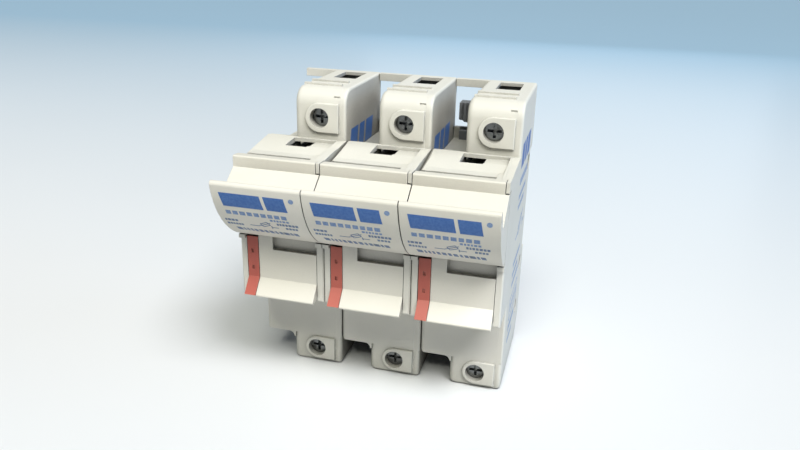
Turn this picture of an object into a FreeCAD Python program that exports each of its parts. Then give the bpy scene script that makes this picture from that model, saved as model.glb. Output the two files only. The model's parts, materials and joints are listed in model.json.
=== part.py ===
import FreeCAD, Part
import math
import os

# Three-pole modular fuse holder for 14 x 51 mm cartridge fuses, for a 35 mm DIN rail.
# Frame, millimetres: x across the poles, 0 at the middle of the three; y from front to back,
# 0 on the plane where the rail's flanges seat; z up, 0 on the rail's centreline.
# Every pole is drawn once, with u = 0 on its own left face, and then moved to its place.
# Where a block only cuts or only has to reach into its neighbour, it overshoots by 0.5 or 1 mm.

POLES = 3
PITCH = 26.5             # from one pole to the next
POLE_WIDTH = 26.3        # leaves a hairline gap between neighbours
EDGE_BEVEL = 0.4         # on the upright front edges
ARC = 1 - math.sqrt(0.5) # where a quarter round passes its middle, as a share of its radius

# Outer profile of a pole, seen from the side.
BACK = 5.0               # rear face, behind the rail's seat plane
TOP = 38.6               # top of the tower
BOTTOM = -52.0           # underside of the bottom terminal block
RIBS = (-25.8, -19.6)    # fronts of the ribs on the tower's top
RIB_THICK = 1.2
RIB_HIGH = 0.6
RIB_LEFT = 10.9
RIB_RIGHT = 23.1
BODY_TOP = 22.4          # top of the full-width body behind the shoulder's crest
NOTCH_FLOOR = 18.6       # floor of the notch beside the tower
NOTCH_FRONT = -27.4
NOTCH_BACK = 3.0
BAR_LOW = 36.1           # underside of the bar that spans the top of the notch
TOWER_FRONT = -31.5
TOWER_LEFT = 10.0
TOWER_ROUND = 5.0        # over the front top edge
TOWER_LEFT_ROUND = 1.6
TOWER_RIGHT_ROUND = 0.8
TOWER_FOOT = 0.5         # the low step along the tower's foot stands this far forward
LOWER_FRONT = -36.25     # front face below the handle
STEP = -42.4             # where the bottom terminal block begins
BLOCK_LEFT = 9.7
BLOCK_ROUND = 1.8        # round the block's lower left edge and in the corner above it
BLOCK_RIGHT_ROUND = 1.2
BODY_ROUND = 1.4         # on the body's lower left edges
CHEEK_FRONT = -51.8      # front edge of the two cheeks
CHEEK_BOTTOM = -21.9
CHEEK_TOP = 18.6
SHOULDER_FRONT = -45.6
SHOULDER_LOW = 20.9      # height of the shoulder at its front edge
CREST_Y = -31.6          # the shoulder's highest line
CREST_Z = 23.1
APRON = 22.0             # the lower part of the shoulder in front of the tower
APRON_FRONT = -38.6
APRON_LEFT = 9.9
WALL = 1.95              # left wall
COVER = 24.3             # where the deep shell ends and the side cover begins
STRIP_INNER = 22.0       # the raised strip along the shoulder's right side
STRIP_LEFT = 23.5
STRIP_FRONT = -50.4
STRIP_BACK = -30.5
STRIP_LOW = 19.0
STRIP_TOP = 21.9         # at its front end
ROOF_FRONT_TOP = 21.6
RIM_BEVEL = 0.6
WINDOW_LEFT = 9.9        # probe window in front of the tower
WINDOW_RIGHT = 16.6
WINDOW_FRONT = -39.3
WINDOW_BACK = -32.2
WINDOW_LIP = 0.5         # the roof is only this thick round the window
LEDGE_PROUD = 1.2        # the small ledges on the cheeks beside the label plate's foot
LEDGE_BOTTOM = -3.5
LEDGE_TOP = -2.3
ROOF = 20.2              # underside of the shoulder
NOTCH_ROOF = 17.0        # underside of the notch's floor
SPLIT = 11.6             # right of this the hollow is not limited by the notch
GROOVE_BACK = -47.9      # where the shoulder ends above the handle's tongue
CAVITY_BACK = -8.4
CAVITY_BOTTOM = -40.9
CONTACT_TRAY = -43.4     # floor of the tray under the lower contact
NECK_FRONT = -28.0       # the passage for the upper contact's riser
NECK_TOP = 25.0
SKIN = 1.1               # the wall outside each terminal's room
TOP_ROOM_LOW = 24.6
BOTTOM_ROOM_HIGH = -43.0
RAIL_CHAMBER = (-6.9, -1.6, -16.5, 12.0)     # hollows that keep the walls thin: y0, y1, z0, z1
FOOT_CHAMBER = (-2.0, 3.2, -39.0, -22.0)
FOOT_LEFT = 9.8
SPRING_POCKET = (-34.9, -34.0, -37.5, -32.5) # room for the lower contact's spring: y0, y1, z0, z1
SPRING_LEFT = 3.2
SPRING_RIGHT = 23.1
TICK = (22.4, 24.2, 36.0, 36.4)              # shallow mark on the tower's front: u0, u1, z0, z1
CLEAR = 8.0              # how far a cutting block reaches past the front

# Rail and its recess.
RAIL_HALF = 17.8         # half of the 35 mm rail, with clearance
HOOK_FRONT = 1.3
HOOK_BACK = 3.9
HOOK_REACH = 15.9
HOOK_RELIEF = 0.6        # depth of the pocket in the seat ahead of each hook
CLIP_LEFT = 2.0
CLIP_RIGHT = 8.0
STEM_LEFT = 5.4          # the upper clip's stem below its grip
GRIP_LOW = 24.6
GRIP_HIGH = 31.4
TAB_LOW = -48.8          # the lower clip's tab
TAB_HIGH = -43.4

# Fuse, standing upright behind the handle.
FUSE_U = 13.15
FUSE_Y = -25.5
FUSE_TOP = 10.5
FUSE_LENGTH = 51.0
FUSE_BOTTOM = FUSE_TOP - FUSE_LENGTH
CAP_RADIUS = 7.15
CAP_LENGTH = 13.0
TUBE_RADIUS = 6.8
CAP_END = 1.0

# Handle and its pivot.
PIVOT_Y = -42.0
PIVOT_Z = -17.5
PIVOT_RADIUS = 1.2
PIVOT_BOSS = 2.8
HANDLE_LEFT = 2.1
HANDLE_RIGHT = 24.15
NOSE_BACK = -51.95
PANEL = -51.8
POCKET_LEFT = 10.3       # the shallow pocket at the top of the panel
POCKET_LOW = -6.6
POCKET_HIGH = -0.6
POCKET_DEPTH = 1.5
RIDGE_FRONT = -54.0
RIDGE_BACK = -50.6
RIDGE_RIGHT = 25.1
RIDGE_TOP = 22.2
PLATE_BOTTOM_Y = -53.2
PLATE_BOTTOM_Z = -1.8
LEVER_RIGHT = 5.7
LEVER_PIVOT_Y = -50.4
LEVER_PIVOT_Z = -4.2
TIE_Y = -58.0
TIE_Z = 8.5
TIE_RADIUS = 1.5
TIE_END_MARGIN = 4.0     # the rod stops this far inside the outer handles
NOSE_LEFT = 0.05
NOSE_RIGHT = 26.25
ARM_LEFT = 4.3
ARM_RIGHT = 22.0
ARM = 2.0
LEVER_STUB = 0.9
DIMPLE_LEFT = 3.5
DIMPLES = (-13.6, -8.2)  # lower ends of the two dimples in the lever
STUB_END = 8.6
PIN_LEFT = 0.8
PIN_RIGHT = 25.5

# Terminals: screw, cage and contact tab, the same at the top and at the bottom.
TERMINAL_U = 18.0
TOP_TERMINAL_Z = 29.8
BOTTOM_TERMINAL_Z = -46.7
TOP_TAB = -12.4          # front face of the upper contact's tab
BOTTOM_TAB = -17.6
TAB_THICK = 1.5
TAB_LEFT = 14.0
TAB_RIGHT = 22.4
HEAD_RADIUS = 3.6
HEAD_LENGTH = 3.0
HEAD_ROUND = 0.5
SLOT_LENGTH = 4.2        # the cross in the head
SLOT_WIDTH = 0.9
SLOT_DEPTH = 1.7
THREAD_DEPTH = 0.45
SHANK_RADIUS = 2.45
SCREW_HOLE = 3.0         # radius of the driver's hole in the front wall
TOP_BOSS = 4.5           # radius of the raised D round the screw's hole
BOTTOM_BOSS = 4.0
BOSS_PROUD = 0.8
CAGE_LEFT = 12.3
CAGE_RIGHT = 24.1
CAGE_SIDE = 1.3
NUT_THICK = 3.0
NUT_AHEAD = 2.1          # from the cage's front plate to the tab, when open
CAGE_TRAVEL = 6.0
SCREW_PITCH = 1.0
TOP_HEAD_BACK = 2.0      # the upper screw's head behind the front wall's face
BOTTOM_HEAD_BACK = 1.4
TOP_WIRE = (-10.8, 1.6)  # the wire space's near and far limits
BOTTOM_WIRE = (-16.0, -5.5)
WIRE_LEFT = 14.9
WIRE_RIGHT = 22.4

SLIDE_GAP = 0.1          # between a part that slides and its guide
PIN_GAP = 0.05           # between a part that turns and its pin

# Jaws that grip the caps.
JAW_HALF = 7.2           # half of the gap between a jaw's blades
BLADE = 1.5
SPRING = 0.5
UPPER_JAW_FRONT = -31.4
LOWER_JAW_FRONT = -33.75

# Long rivets through all three poles, (y, z).
RIVETS = ((-4.5, 15.0), (-4.4, -20.5), (-6.0, -36.5))
RIVET_RADIUS = 1.5
RIVET_HEAD = 2.6
RIVET_HEAD_DEPTH = 0.9

# Pegs that locate the side cover on the deep shell, (y, z).
PEGS = ((-0.5, 20.2), (-34.0, -46.5), (-2.0, -43.5))
PEG_DEPTH = 2.2
PEG_RADIUS = 1.0


def box(u0, u1, y0, y1, z0, z1):
    """A block between two corners."""
    corner = FreeCAD.Vector(u0, y0, z0)
    return Part.makeBox(u1 - u0, y1 - y0, z1 - z0, corner)


def rod_u(y, z, radius, u0, u1):
    """A cylinder across the pole."""
    return Part.makeCylinder(radius, u1 - u0, FreeCAD.Vector(u0, y, z), FreeCAD.Vector(1, 0, 0))


def rod_y(u, z, radius, y0, y1):
    """A cylinder from front to back."""
    return Part.makeCylinder(radius, y1 - y0, FreeCAD.Vector(u, y0, z), FreeCAD.Vector(0, 1, 0))


def rod_z(u, y, radius, z0, z1):
    """An upright cylinder."""
    return Part.makeCylinder(radius, z1 - z0, FreeCAD.Vector(u, y, z0), FreeCAD.Vector(0, 0, 1))


def side_profile(points, u0, u1):
    """A solid across the pole from a side outline: (y, z) corners, or (y, z, y, z) for an arc
    through the first place to the second."""
    edges = []
    first = FreeCAD.Vector(u0, points[0][0], points[0][1])
    here = first
    for item in list(points[1:]) + [points[0][:2]]:
        there = FreeCAD.Vector(u0, item[-2], item[-1])
        if len(item) == 4:
            middle = FreeCAD.Vector(u0, item[0], item[1])
            edges.append(Part.Arc(here, middle, there).toShape())
        else:
            edges.append(Part.LineSegment(here, there).toShape())
        here = there
    face = Part.Face(Part.Wire(edges))
    return face.extrude(FreeCAD.Vector(u1 - u0, 0, 0))


def join(first, *others):
    """One solid from several that touch."""
    shape = first
    for other in others:
        shape = shape.fuse(other)
    return shape.removeSplitter()


def cut(shape, *tools):
    """The shape with each tool taken out of it."""
    for tool in tools:
        shape = shape.cut(tool)
    return shape.removeSplitter()


def round_edges(shape, radius, wanted):
    """Rounds the edges whose two end points satisfy wanted(a, b)."""
    chosen = []
    for edge in shape.Edges:
        ends = [vertex.Point for vertex in edge.Vertexes]
        if len(ends) == 2 and wanted(ends[0], ends[1]):
            chosen.append(edge)
    return shape.makeFillet(radius, chosen)


def near(value, target):
    return abs(value - target) < 0.02


def both(a, b, axis, target):
    """Whether both points have this value on this axis."""
    return near(getattr(a, axis), target) and near(getattr(b, axis), target)


# --- housing -------------------------------------------------------------------------------


def shoulder_outline():
    """The side outline of the full-width body, with its crowned shoulder."""
    return [
        (BACK, BODY_TOP),
        (BACK, STEP),
        (LOWER_FRONT, STEP),
        (LOWER_FRONT, CHEEK_BOTTOM),
        (CHEEK_FRONT + 1.0, CHEEK_BOTTOM),
        (CHEEK_FRONT + ARC, CHEEK_BOTTOM + ARC, CHEEK_FRONT, CHEEK_BOTTOM + 1.0),
        (CHEEK_FRONT, CHEEK_TOP),
        (SHOULDER_FRONT, CHEEK_TOP),
        (SHOULDER_FRONT, SHOULDER_LOW),
        (-38.8, 22.5, CREST_Y, CREST_Z),
        (CREST_Y + 1.5, CREST_Z - 0.15, CREST_Y + 2.2, BODY_TOP),
    ]


def tower():
    """The top terminal's tower, rounded over its front top edge."""
    inset = TOWER_ROUND * ARC
    foot = APRON - 1.0
    outline = [
        (BACK, foot),
        (TOWER_FRONT, foot),
        (TOWER_FRONT, TOP - TOWER_ROUND),
        (TOWER_FRONT + inset, TOP - inset, TOWER_FRONT + TOWER_ROUND, TOP),
        (BACK, TOP),
    ]
    block = side_profile(outline, TOWER_LEFT, POLE_WIDTH)

    def front_or_top(a, b, side):
        return both(a, b, "x", side) and not both(a, b, "y", BACK) and not both(a, b, "z", foot)

    block = round_edges(block, TOWER_LEFT_ROUND, lambda a, b: front_or_top(a, b, TOWER_LEFT))
    return round_edges(block, TOWER_RIGHT_ROUND, lambda a, b: front_or_top(a, b, POLE_WIDTH))


def terminal_boss(front, z, radius):
    """The raised D round a terminal screw's hole."""
    face = front - BOSS_PROUD
    disc = rod_y(TERMINAL_U, z, radius, face, front + 0.5)
    plate = box(TERMINAL_U, CAGE_RIGHT, face, front + 0.5, z - radius, z + radius)
    return round_edges(join(disc, plate), 0.3, lambda a, b: both(a, b, "y", face))


def inner_corner():
    """The hollow rounding where the bottom block meets the body's underside."""
    left = BLOCK_LEFT - BLOCK_ROUND
    low = STEP - BLOCK_ROUND
    piece = box(left, BLOCK_LEFT + 0.5, LOWER_FRONT, BACK, low, STEP + 0.5)
    return piece.cut(rod_y(left, low, BLOCK_ROUND, LOWER_FRONT - 1.0, BACK + 1.0))


def bottom_block():
    """The bottom terminal's block, with its rounded left side and chamfered rear edge."""
    outline = [
        (BACK, STEP + 2.0),
        (BACK, BOTTOM + 6.0),
        (BACK - 6.0, BOTTOM),
        (LOWER_FRONT + 1.0, BOTTOM),
        (LOWER_FRONT + ARC, BOTTOM + ARC, LOWER_FRONT, BOTTOM + 1.0),
        (LOWER_FRONT, STEP + 2.0),
    ]
    block = side_profile(outline, BLOCK_LEFT, POLE_WIDTH)

    def lower(a, b, side):
        return both(a, b, "x", side) and max(a.z, b.z) < STEP and not both(a, b, "y", BACK)

    block = round_edges(block, BLOCK_ROUND, lambda a, b: lower(a, b, BLOCK_LEFT))
    return round_edges(block, BLOCK_RIGHT_ROUND, lambda a, b: lower(a, b, POLE_WIDTH))


def shoulder_rim():
    """The sliver that comes off the shoulder's left rim, along the rise of its crown."""
    rise = (CREST_Z - SHOULDER_LOW) / (CREST_Y - SHOULDER_FRONT)
    reach = 3.0
    start = SHOULDER_FRONT - reach
    low = SHOULDER_LOW - rise * reach
    corners = [
        FreeCAD.Vector(-0.2, start, low - RIM_BEVEL - 0.2),
        FreeCAD.Vector(RIM_BEVEL + reach, start, low + reach),
        FreeCAD.Vector(-0.2, start, low + reach),
    ]
    face = Part.Face(Part.makePolygon(corners + [corners[0]]))
    length = CREST_Y - start + reach
    return face.extrude(FreeCAD.Vector(0, length, rise * length))


def upright_bevel(u, inward, front, z0, z1):
    """The sliver that comes off an upright front edge; inward is 1 on the left, -1 on the right."""
    out = 0.2
    corners = [
        FreeCAD.Vector(u - inward * out, front - out, z0),
        FreeCAD.Vector(u + inward * (EDGE_BEVEL + out), front - out, z0),
        FreeCAD.Vector(u - inward * out, front + EDGE_BEVEL + out, z0),
    ]
    face = Part.Face(Part.makePolygon(corners + [corners[0]]))
    return face.extrude(FreeCAD.Vector(0, 0, z1 - z0))


def pole_blank():
    """The whole outside of one pole, still without its inside."""
    body = side_profile(shoulder_outline(), 0.0, POLE_WIDTH)
    apron = box(APRON_LEFT, STRIP_LEFT, APRON_FRONT, TOWER_FRONT - TOWER_FOOT, APRON, TOP)
    notch = box(-1.0, TOWER_LEFT, NOTCH_FRONT, NOTCH_BACK, NOTCH_FLOOR, TOP)
    body = cut(body, apron, notch, shoulder_rim())

    def lower_left(a, b):
        upright = both(a, b, "y", LOWER_FRONT)
        return both(a, b, "x", 0.0) and (upright or both(a, b, "z", STEP))

    body = round_edges(body, BODY_ROUND, lower_left)
    roof_front = box(WALL, STRIP_INNER, GROOVE_BACK, SHOULDER_FRONT + 1.0, ROOF, ROOF_FRONT_TOP)
    strip_front = box(STRIP_INNER, POLE_WIDTH, STRIP_FRONT, SHOULDER_FRONT + 1.0,
                      CHEEK_TOP - 1.0, STRIP_TOP)
    strip = side_profile(
        [(STRIP_FRONT, STRIP_LOW), (STRIP_FRONT, STRIP_TOP), (-39.5, 22.7, STRIP_BACK, 22.3),
         (STRIP_BACK, STRIP_LOW)], STRIP_LEFT, POLE_WIDTH)
    horn = box(RIDGE_RIGHT + 0.2, POLE_WIDTH, RIDGE_FRONT, STRIP_FRONT + 0.4, STRIP_LOW + 0.3,
               RIDGE_TOP)
    bar = box(0.0, TOWER_LEFT + 1.0, NOTCH_BACK, BACK, BAR_LOW, TOP)
    blank = join(body, roof_front, strip_front, strip, horn, tower(), bar, bottom_block(),
                 inner_corner())
    ledges = [box(u0, u1, CHEEK_FRONT - LEDGE_PROUD, CHEEK_FRONT + 1.0, LEDGE_BOTTOM, LEDGE_TOP)
              for u0, u1 in ((0.0, WALL), (COVER, POLE_WIDTH))]
    ribs = [box(RIB_LEFT, RIB_RIGHT, y, y + RIB_THICK, TOP - 0.5, TOP + RIB_HIGH) for y in RIBS]
    blank = join(blank, terminal_boss(TOWER_FRONT, TOP_TERMINAL_Z, TOP_BOSS),
                 terminal_boss(LOWER_FRONT, BOTTOM_TERMINAL_Z, BOTTOM_BOSS), *ledges, *ribs)
    rail = box(-1.0, POLE_WIDTH + 1.0, 0.0, BACK + 1.0, -RAIL_HALF, RAIL_HALF)
    bevels = []
    bevels.append(upright_bevel(POLE_WIDTH, -1, LOWER_FRONT, BOTTOM - 1.0, CHEEK_BOTTOM))
    for u, inward in ((0.0, 1), (POLE_WIDTH, -1)):
        bevels.append(upright_bevel(u, inward, CHEEK_FRONT, CHEEK_BOTTOM, -4.0))
    tick = box(TICK[0], TICK[1], TOWER_FRONT - 1.0, TOWER_FRONT + 1.0, TICK[2], TICK[3])
    return cut(blank, rail, tick, *bevels)


def terminal_space(z, front, set_back, tab, wire, z0, z1):
    """The hollow for one terminal: the driver's hole, the head's bore and room for the cage."""
    head = front + set_back - PIN_GAP
    room_front = tab - NUT_AHEAD - NUT_THICK - CAGE_TRAVEL - 1.2
    hole = rod_y(TERMINAL_U, z, SCREW_HOLE, front - 2.0, head + 0.5)
    bore = rod_y(TERMINAL_U, z, HEAD_RADIUS + PIN_GAP, head, room_front + 0.5)
    back = wire[1] + CAGE_SIDE + 2 * SLIDE_GAP
    room = box(CAGE_LEFT - SLIDE_GAP, COVER, room_front, back, z0, z1)
    return join(hole, bore, room)


def pole_hollow():
    """Everything that is empty inside a pole, up to the side cover."""
    inner_front = LOWER_FRONT + 2.0
    main = box(WALL, COVER, inner_front, CAVITY_BACK, CAVITY_BOTTOM, NOTCH_ROOF)
    under_crest = box(WALL, COVER, inner_front, NOTCH_FRONT - WALL + 0.4, NOTCH_ROOF - 1.0, ROOF)
    right_of_notch = box(SPLIT, COVER, inner_front, CAVITY_BACK, NOTCH_ROOF - 1.0, ROOF)
    ahead = box(WALL, COVER, CHEEK_FRONT - CLEAR, LOWER_FRONT, CHEEK_BOTTOM - CLEAR, ROOF)
    doorway = box(WALL, COVER, LOWER_FRONT - 1.0, inner_front + 1.0, CHEEK_BOTTOM, ROOF)
    under_contact = box(SPLIT, COVER, inner_front, CAVITY_BACK, CONTACT_TRAY, CAVITY_BOTTOM + 1.0)
    neck = box(CAGE_LEFT - SLIDE_GAP, COVER, NECK_FRONT, CAVITY_BACK, ROOF - 1.0, NECK_TOP)
    groove = box(WALL, STRIP_INNER, CHEEK_FRONT - CLEAR, GROOVE_BACK, CHEEK_TOP - 4.0, TOP)
    gap = box(STRIP_INNER, COVER, CHEEK_FRONT - CLEAR, STRIP_FRONT, CHEEK_TOP - 4.0, TOP)
    top = terminal_space(TOP_TERMINAL_Z, TOWER_FRONT, TOP_HEAD_BACK, TOP_TAB, TOP_WIRE,
                         TOP_ROOM_LOW, TOP - SKIN)
    bottom = terminal_space(BOTTOM_TERMINAL_Z, LOWER_FRONT, BOTTOM_HEAD_BACK, BOTTOM_TAB,
                            BOTTOM_WIRE, BOTTOM + SKIN, BOTTOM_ROOM_HIGH)
    rail_chamber = box(WALL, COVER, *RAIL_CHAMBER)
    foot_chamber = box(FOOT_LEFT, COVER, *FOOT_CHAMBER)
    return [main, under_crest, right_of_notch, ahead, doorway, under_contact, neck, groove, gap, top, bottom,
            rail_chamber, foot_chamber]


def pole_openings():
    """The openings through the outside: wire holes, probe window, clip slots, spring pocket."""
    top_wire = box(WIRE_LEFT, WIRE_RIGHT, TOP_WIRE[0], TOP_WIRE[1], TOP - 3.0, TOP + 1.0)
    bottom_wire = box(WIRE_LEFT, WIRE_RIGHT, BOTTOM_WIRE[0], BOTTOM_WIRE[1],
                      BOTTOM - 1.0, BOTTOM + 2.0)
    window = side_profile(
        [(WINDOW_FRONT, ROOF - 0.2), (WINDOW_FRONT, APRON + 2.0), (WINDOW_BACK, APRON + 2.0),
         (WINDOW_BACK, APRON), (WINDOW_BACK + 8.0, ROOF - 0.2)], WINDOW_LEFT, WINDOW_RIGHT)
    clip_slots = [
        box(CLIP_LEFT - SLIDE_GAP, CLIP_RIGHT + SLIDE_GAP, HOOK_FRONT - SLIDE_GAP,
            HOOK_BACK + SLIDE_GAP, low, high)
        for low, high in ((RAIL_HALF - 1.0, BODY_TOP + 1.0), (STEP - 1.0, 1.0 - RAIL_HALF))]
    window_relief = box(WINDOW_LEFT - 1.0, WINDOW_RIGHT + 1.0, WINDOW_FRONT - 0.8,
                        WINDOW_BACK + 1.0, ROOF - 1.0, APRON - WINDOW_LIP)
    spring_pocket = box(SPRING_LEFT, SPRING_RIGHT, *SPRING_POCKET)
    hook_reliefs = [
        box(CLIP_LEFT - 2 * SLIDE_GAP, CLIP_RIGHT + 2 * SLIDE_GAP, -HOOK_RELIEF, 1.0, low, high)
        for low, high in ((HOOK_REACH - 0.4, RAIL_HALF), (-RAIL_HALF, 0.4 - HOOK_REACH))]
    return [top_wire, bottom_wire, window, window_relief, spring_pocket] + clip_slots + hook_reliefs


def rivet_holes():
    return [rod_u(y, z, RIVET_RADIUS, -1.0, POLE_WIDTH + 1.0) for y, z in RIVETS]


def rivet_sinks(u0, u1):
    """The sinks that the rivets' heads fill."""
    return [rod_u(y, z, RIVET_HEAD, u0, u1) for y, z in RIVETS]


def pivot_socket():
    """The blind holes in both walls for the handle's pivot pin."""
    return rod_u(PIVOT_Y, PIVOT_Z, PIVOT_RADIUS, PIN_LEFT, PIN_RIGHT)


def locating_pegs(radius):
    """The pegs on the side cover, or with a larger radius the holes for them."""
    return [rod_u(y, z, radius, COVER - PEG_DEPTH, COVER + 0.5) for y, z in PEGS]


def housing_base(blank, first):
    """The deep shell of a pole: left wall, front, back, top and bottom."""
    keep = box(-1.0, COVER, CHEEK_FRONT - CLEAR, BACK + 1.0, BOTTOM - 1.0, TOP + 2.0)
    shell = blank.common(keep)
    shell = cut(shell, *pole_hollow(), *pole_openings(), *rivet_holes(), pivot_socket(),
                *locating_pegs(PEG_RADIUS + PIN_GAP))
    if first:
        shell = cut(shell, *rivet_sinks(-1.0, RIVET_HEAD_DEPTH))
    return shell


def side_cover(blank, last):
    """The flat cover that closes a pole on its right."""
    keep = box(COVER, POLE_WIDTH + 1.0, CHEEK_FRONT - CLEAR, BACK + 1.0, BOTTOM - 1.0, TOP + 2.0)
    cover = join(blank.common(keep), *locating_pegs(PEG_RADIUS))
    cover = cut(cover, *rivet_holes(), pivot_socket())
    if last:
        cover = cut(cover, *rivet_sinks(POLE_WIDTH - RIVET_HEAD_DEPTH, POLE_WIDTH + 1.0))
    return cover


# --- fuse ----------------------------------------------------------------------------------


def fuse_tube():
    """The ceramic body, hollow for the element and its sand."""
    low = FUSE_BOTTOM + CAP_END
    high = FUSE_TOP - CAP_END
    outside = rod_z(FUSE_U, FUSE_Y, TUBE_RADIUS, low, high)
    inside = rod_z(FUSE_U, FUSE_Y, TUBE_RADIUS - 2.0, low - 1.0, high + 1.0)
    return cut(outside, inside)


def fuse_cap(low):
    """One plated end cap, pressed over the end of the tube; low is its lower end."""
    high = low + CAP_LENGTH
    lower = near(low, FUSE_BOTTOM)
    cap = rod_z(FUSE_U, FUSE_Y, CAP_RADIUS, low, high)
    face = low if lower else high
    rim = [edge for edge in cap.Edges if len(edge.Vertexes) == 1 and near(edge.CenterOfMass.z, face)]
    cap = cap.makeFillet(0.7, rim)
    start = low + CAP_END if lower else low - 1.0
    end = high + 1.0 if lower else high - CAP_END
    return cut(cap, rod_z(FUSE_U, FUSE_Y, TUBE_RADIUS, start, end))


def fuse_caps():
    return [fuse_cap(FUSE_BOTTOM), fuse_cap(FUSE_TOP - CAP_LENGTH)]


def fuse_element():
    """The notched silver strip between the caps, with its rows of holes."""
    low = FUSE_BOTTOM + CAP_END
    high = FUSE_TOP - CAP_END
    strip = box(FUSE_U - 2.5, FUSE_U + 2.5, FUSE_Y - 0.15, FUSE_Y + 0.15, low, high)
    rows = 5
    spacing = 7.0
    middle = (low + high) / 2
    holes = []
    for row in range(rows):
        z = middle + (row - (rows - 1) / 2) * spacing
        for side in (-1.6, 0.0, 1.6):
            holes.append(rod_y(FUSE_U + side, z, 0.6, FUSE_Y - 1.0, FUSE_Y + 1.0))
    return cut(strip, *holes)


# --- contacts ------------------------------------------------------------------------------


def jaw_blades(y0, y1, z0, z1):
    """The two spring blades that grip a cap from its sides."""
    left = FUSE_U - JAW_HALF - BLADE
    right = FUSE_U + JAW_HALF
    return [box(left, left + BLADE, y0, y1, z0, z1), box(right, right + BLADE, y0, y1, z0, z1)]


def upper_contact():
    """Upper jaw, open to the front, with its riser to the top terminal."""
    left = FUSE_U - JAW_HALF - BLADE
    right = FUSE_U + JAW_HALF + BLADE
    tab_back = TOP_TAB + TAB_THICK
    bridge = box(left, right, TOP_TAB, tab_back, 4.2, 10.4)
    riser = box(TAB_LEFT, right, TOP_TAB, tab_back, 10.0, 21.0)
    tab = box(TAB_LEFT, TAB_RIGHT, TOP_TAB, tab_back, 20.0, 35.6)
    return join(bridge, riser, tab, *jaw_blades(UPPER_JAW_FRONT, tab_back, 4.2, 10.4))


def lower_contact():
    """Lower jaw, open to the back because the handle turns the lower cap backward, with its
    base and its tab down to the bottom terminal."""
    left = FUSE_U - JAW_HALF - BLADE
    right = FUSE_U + JAW_HALF + BLADE
    bridge = box(left, right, LOWER_JAW_FRONT, LOWER_JAW_FRONT + 1.05, -39.9, -30.6)
    stem = box(TAB_LEFT, right, LOWER_JAW_FRONT, LOWER_JAW_FRONT + 1.05, -42.5, -39.0)
    base = box(TAB_LEFT, right, LOWER_JAW_FRONT, BOTTOM_TAB + TAB_THICK, -42.5, -41.2)
    tab = box(TAB_LEFT, TAB_RIGHT, BOTTOM_TAB, BOTTOM_TAB + TAB_THICK, -50.6, -41.2)
    return join(bridge, stem, base, tab, *jaw_blades(LOWER_JAW_FRONT, -18.6, -39.9, -30.6))


def spring_clip(open_front, bridge_y, tip_y, z0, z1):
    """A flat spring round the outside of a jaw: two arms joined by a bridge."""
    outer = JAW_HALF + BLADE + SPRING
    inner = JAW_HALF + BLADE
    y0 = min(bridge_y, tip_y)
    y1 = max(bridge_y, tip_y)
    block = box(FUSE_U - outer, FUSE_U + outer, y0, y1, z0, z1)
    if open_front:
        room = box(FUSE_U - inner, FUSE_U + inner, y0 - 1.0, y1 - SPRING, z0 - 1.0, z1 + 1.0)
    else:
        room = box(FUSE_U - inner, FUSE_U + inner, y0 + SPRING, y1 + 1.0, z0 - 1.0, z1 + 1.0)
    return cut(block, room)


def contact_springs():
    tab_back = TOP_TAB + TAB_THICK
    upper = spring_clip(True, tab_back + SPRING, UPPER_JAW_FRONT + 2.0, 5.6, 8.8)
    lower = spring_clip(False, LOWER_JAW_FRONT - SPRING, -21.0, -37.0, -33.0)
    return [upper, lower]


# --- terminals -----------------------------------------------------------------------------


def terminal_screw(z, head_front, tab):
    """A cross-slotted screw: head, ringed shank and rounded tip that bears on the tab."""
    head_back = head_front + HEAD_LENGTH
    tip = tab - PIN_GAP
    head = rod_y(TERMINAL_U, z, HEAD_RADIUS, head_front, head_back)
    rim = [edge for edge in head.Edges
           if len(edge.Vertexes) == 1 and near(edge.CenterOfMass.y, head_front)]
    head = head.makeFillet(HEAD_ROUND, rim)
    outline = [FreeCAD.Vector(TERMINAL_U, head_back - 0.5, z)]
    y = head_back - 0.5
    root = SHANK_RADIUS - THREAD_DEPTH
    outline.append(FreeCAD.Vector(TERMINAL_U, y, z + root))
    pitches = int((tip - 0.8 - head_back) / SCREW_PITCH)
    y = head_back + 0.3
    for _ in range(pitches):
        outline.append(FreeCAD.Vector(TERMINAL_U, y, z + root))
        outline.append(FreeCAD.Vector(TERMINAL_U, y + 0.4 * SCREW_PITCH, z + SHANK_RADIUS))
        outline.append(FreeCAD.Vector(TERMINAL_U, y + 0.6 * SCREW_PITCH, z + SHANK_RADIUS))
        y += SCREW_PITCH
    outline.append(FreeCAD.Vector(TERMINAL_U, y, z + root))
    outline.append(FreeCAD.Vector(TERMINAL_U, tip, z + root - 0.4))
    outline.append(FreeCAD.Vector(TERMINAL_U, tip, z))
    face = Part.Face(Part.makePolygon(outline + [outline[0]]))
    shank = face.revolve(FreeCAD.Vector(TERMINAL_U, 0, z), FreeCAD.Vector(0, 1, 0), 360)
    screw = join(head, shank)
    across = SLOT_LENGTH / 2
    half = SLOT_WIDTH / 2
    upright = box(TERMINAL_U - half, TERMINAL_U + half, head_front - 1.0, head_front + SLOT_DEPTH,
                  z - across, z + across)
    level = box(TERMINAL_U - across, TERMINAL_U + across, head_front - 1.0,
                head_front + SLOT_DEPTH, z - half, z + half)
    return cut(screw, upright, level)


def cage_clamp(z, tab, wire, half_height):
    """The cage round the tab: the screw turns in its front plate and draws it forward."""
    nut_front = tab - NUT_AHEAD - NUT_THICK
    back = wire[1] + SLIDE_GAP
    block = box(CAGE_LEFT, CAGE_RIGHT, nut_front, back + CAGE_SIDE, z - half_height, z + half_height)
    space = box(CAGE_LEFT + CAGE_SIDE, CAGE_RIGHT - CAGE_SIDE, nut_front + NUT_THICK, back,
                z - half_height - 1.0, z + half_height + 1.0)
    thread = rod_y(TERMINAL_U, z, SHANK_RADIUS + PIN_GAP, nut_front - 1.0, nut_front + NUT_THICK + 1.0)
    return cut(block, space, thread)


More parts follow.
